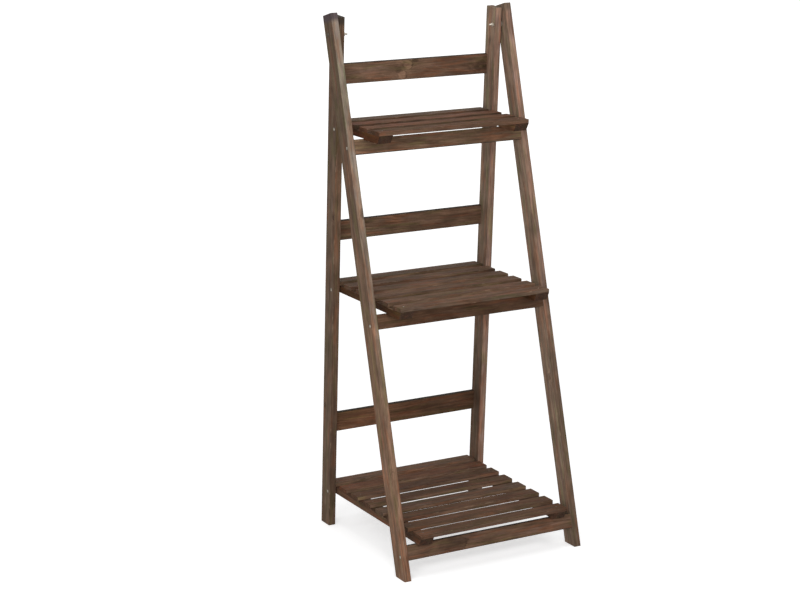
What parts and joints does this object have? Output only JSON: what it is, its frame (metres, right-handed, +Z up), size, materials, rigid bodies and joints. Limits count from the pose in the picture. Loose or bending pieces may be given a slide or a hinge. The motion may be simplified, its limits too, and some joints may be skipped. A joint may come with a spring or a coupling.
{
  "type": "plant ladder stand",
  "caption": "Folding wooden ladder stand: a leaning front frame hinged to a rear frame at the top, carrying stepped slatted shelves that swing up to lie flat between the rear legs.",
  "frame": {"origin": "on the floor, at the centre of the footprint between the four feet", "axes": "+Z up along the height; +Y from the front legs to the rear legs, the shorter way of the footprint; +X along the slats, from the left legs to the right legs seen from the front"},
  "size_m": [0.4154, 0.4, 1.08],
  "materials": {
    "stained_wood": "dark brown stained softwood, matt, with open grain and eased edges",
    "zinc_steel": "zinc plated steel, bright"
  },
  "bodies": {
    "rear_frame": {"rear_leg_left": "stained_wood", "rear_leg_right": "stained_wood", "back_slat_lower": "stained_wood", "back_slat_middle": "stained_wood", "back_slat_upper": "stained_wood", "back_slat_pins": "zinc_steel", "hinge_bolts": "zinc_steel", "hinge_spacers": "zinc_steel", "hinge_nuts": "zinc_steel"},
    "front_frame": {"front_leg_left": "stained_wood", "front_leg_right": "stained_wood", "crossbar_lower": "stained_wood", "crossbar_middle": "stained_wood", "crossbar_upper": "stained_wood", "crossbar_screws": "zinc_steel"},
    "lower_shelf": {"lower_rail_left": "stained_wood", "lower_rail_right": "stained_wood", "lower_slat_1": "stained_wood", "lower_slat_2": "stained_wood", "lower_slat_3": "stained_wood", "lower_slat_4": "stained_wood", "lower_slat_5": "stained_wood", "lower_slat_6": "stained_wood", "lower_slat_7": "stained_wood", "lower_slat_8": "stained_wood", "lower_slat_nails": "zinc_steel", "lower_pivot_screws": "zinc_steel"},
    "middle_shelf": {"middle_rail_left": "stained_wood", "middle_rail_right": "stained_wood", "middle_slat_1": "stained_wood", "middle_slat_2": "stained_wood", "middle_slat_3": "stained_wood", "middle_slat_4": "stained_wood", "middle_slat_5": "stained_wood", "middle_slat_6": "stained_wood", "middle_slat_nails": "zinc_steel", "middle_pivot_screws": "zinc_steel"},
    "upper_shelf": {"upper_rail_left": "stained_wood", "upper_rail_right": "stained_wood", "upper_slat_1": "stained_wood", "upper_slat_2": "stained_wood", "upper_slat_3": "stained_wood", "upper_slat_4": "stained_wood", "upper_slat_nails": "zinc_steel", "upper_pivot_screws": "zinc_steel"}
  },
  "joints": [
    {"name": "frame_fold", "type": "hinge", "parent": "rear_frame", "child": "front_frame", "pos_m": [0, 0.102, 1.0355], "axis": [1, 0, 0], "range_deg": [0, 18.5]},
    {"name": "lower_shelf_lift", "type": "hinge", "parent": "rear_frame", "child": "lower_shelf", "pos_m": [0, 0.16852, 0.0745], "axis": [-1, 0, 0], "range_deg": [0, 86]},
    {"name": "middle_shelf_lift", "type": "hinge", "parent": "rear_frame", "child": "middle_shelf", "pos_m": [0, 0.13947, 0.514], "axis": [-1, 0, 0], "range_deg": [0, 86]},
    {"name": "upper_shelf_lift", "type": "hinge", "parent": "rear_frame", "child": "upper_shelf", "pos_m": [0, 0.11753, 0.846], "axis": [-1, 0, 0], "range_deg": [0, 86]}
  ]
}
